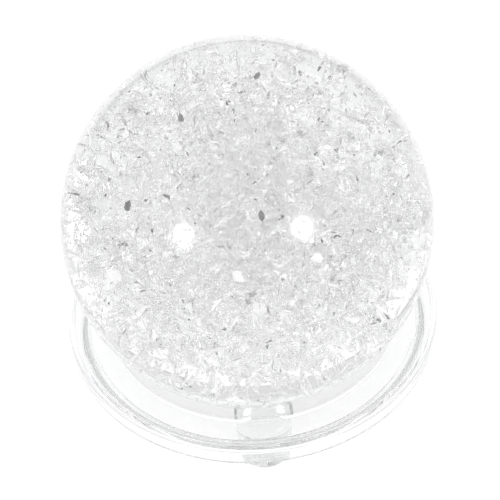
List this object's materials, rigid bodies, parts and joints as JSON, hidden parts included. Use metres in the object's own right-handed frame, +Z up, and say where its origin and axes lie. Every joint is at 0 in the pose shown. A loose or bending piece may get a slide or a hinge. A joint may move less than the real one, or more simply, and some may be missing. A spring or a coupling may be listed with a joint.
{
  "type": "crystal ball",
  "caption": "Clear glass ball, crackled inside, that rests in the soft seat of a round clear stand on short round feet and lifts out of it.",
  "frame": {"origin": "on the surface the stand rests on, under the centre of the ball", "axes": "+Z up; -Y towards the front foot; +X to the right seen from the front"},
  "size_m": [0.0852, 0.0852, 0.081],
  "materials": {
    "crackle_glass": "polished outside, full of small bright cracks inside",
    "clear_acrylic": "clear, polished",
    "clear_silicone": "translucent, satin"
  },
  "bodies": {
    "stand": {"stand_ring": "clear_acrylic", "foot_front": "clear_acrylic", "foot_right": "clear_acrylic", "foot_left": "clear_acrylic"},
    "seat": {"seat_ring": "clear_silicone"},
    "ball": {"crystal_ball": "crackle_glass"}
  },
  "joints": [
    {"name": "ball_turn", "type": "hinge", "parent": "stand", "child": "seat", "pos_m": [0, 0, 0.015], "axis": [0, 0, 1], "continuous": true},
    {"name": "ball_lift", "type": "slide", "parent": "seat", "child": "ball", "axis": [0, 0, 1], "range_m": [0, 0.05]}
  ]
}
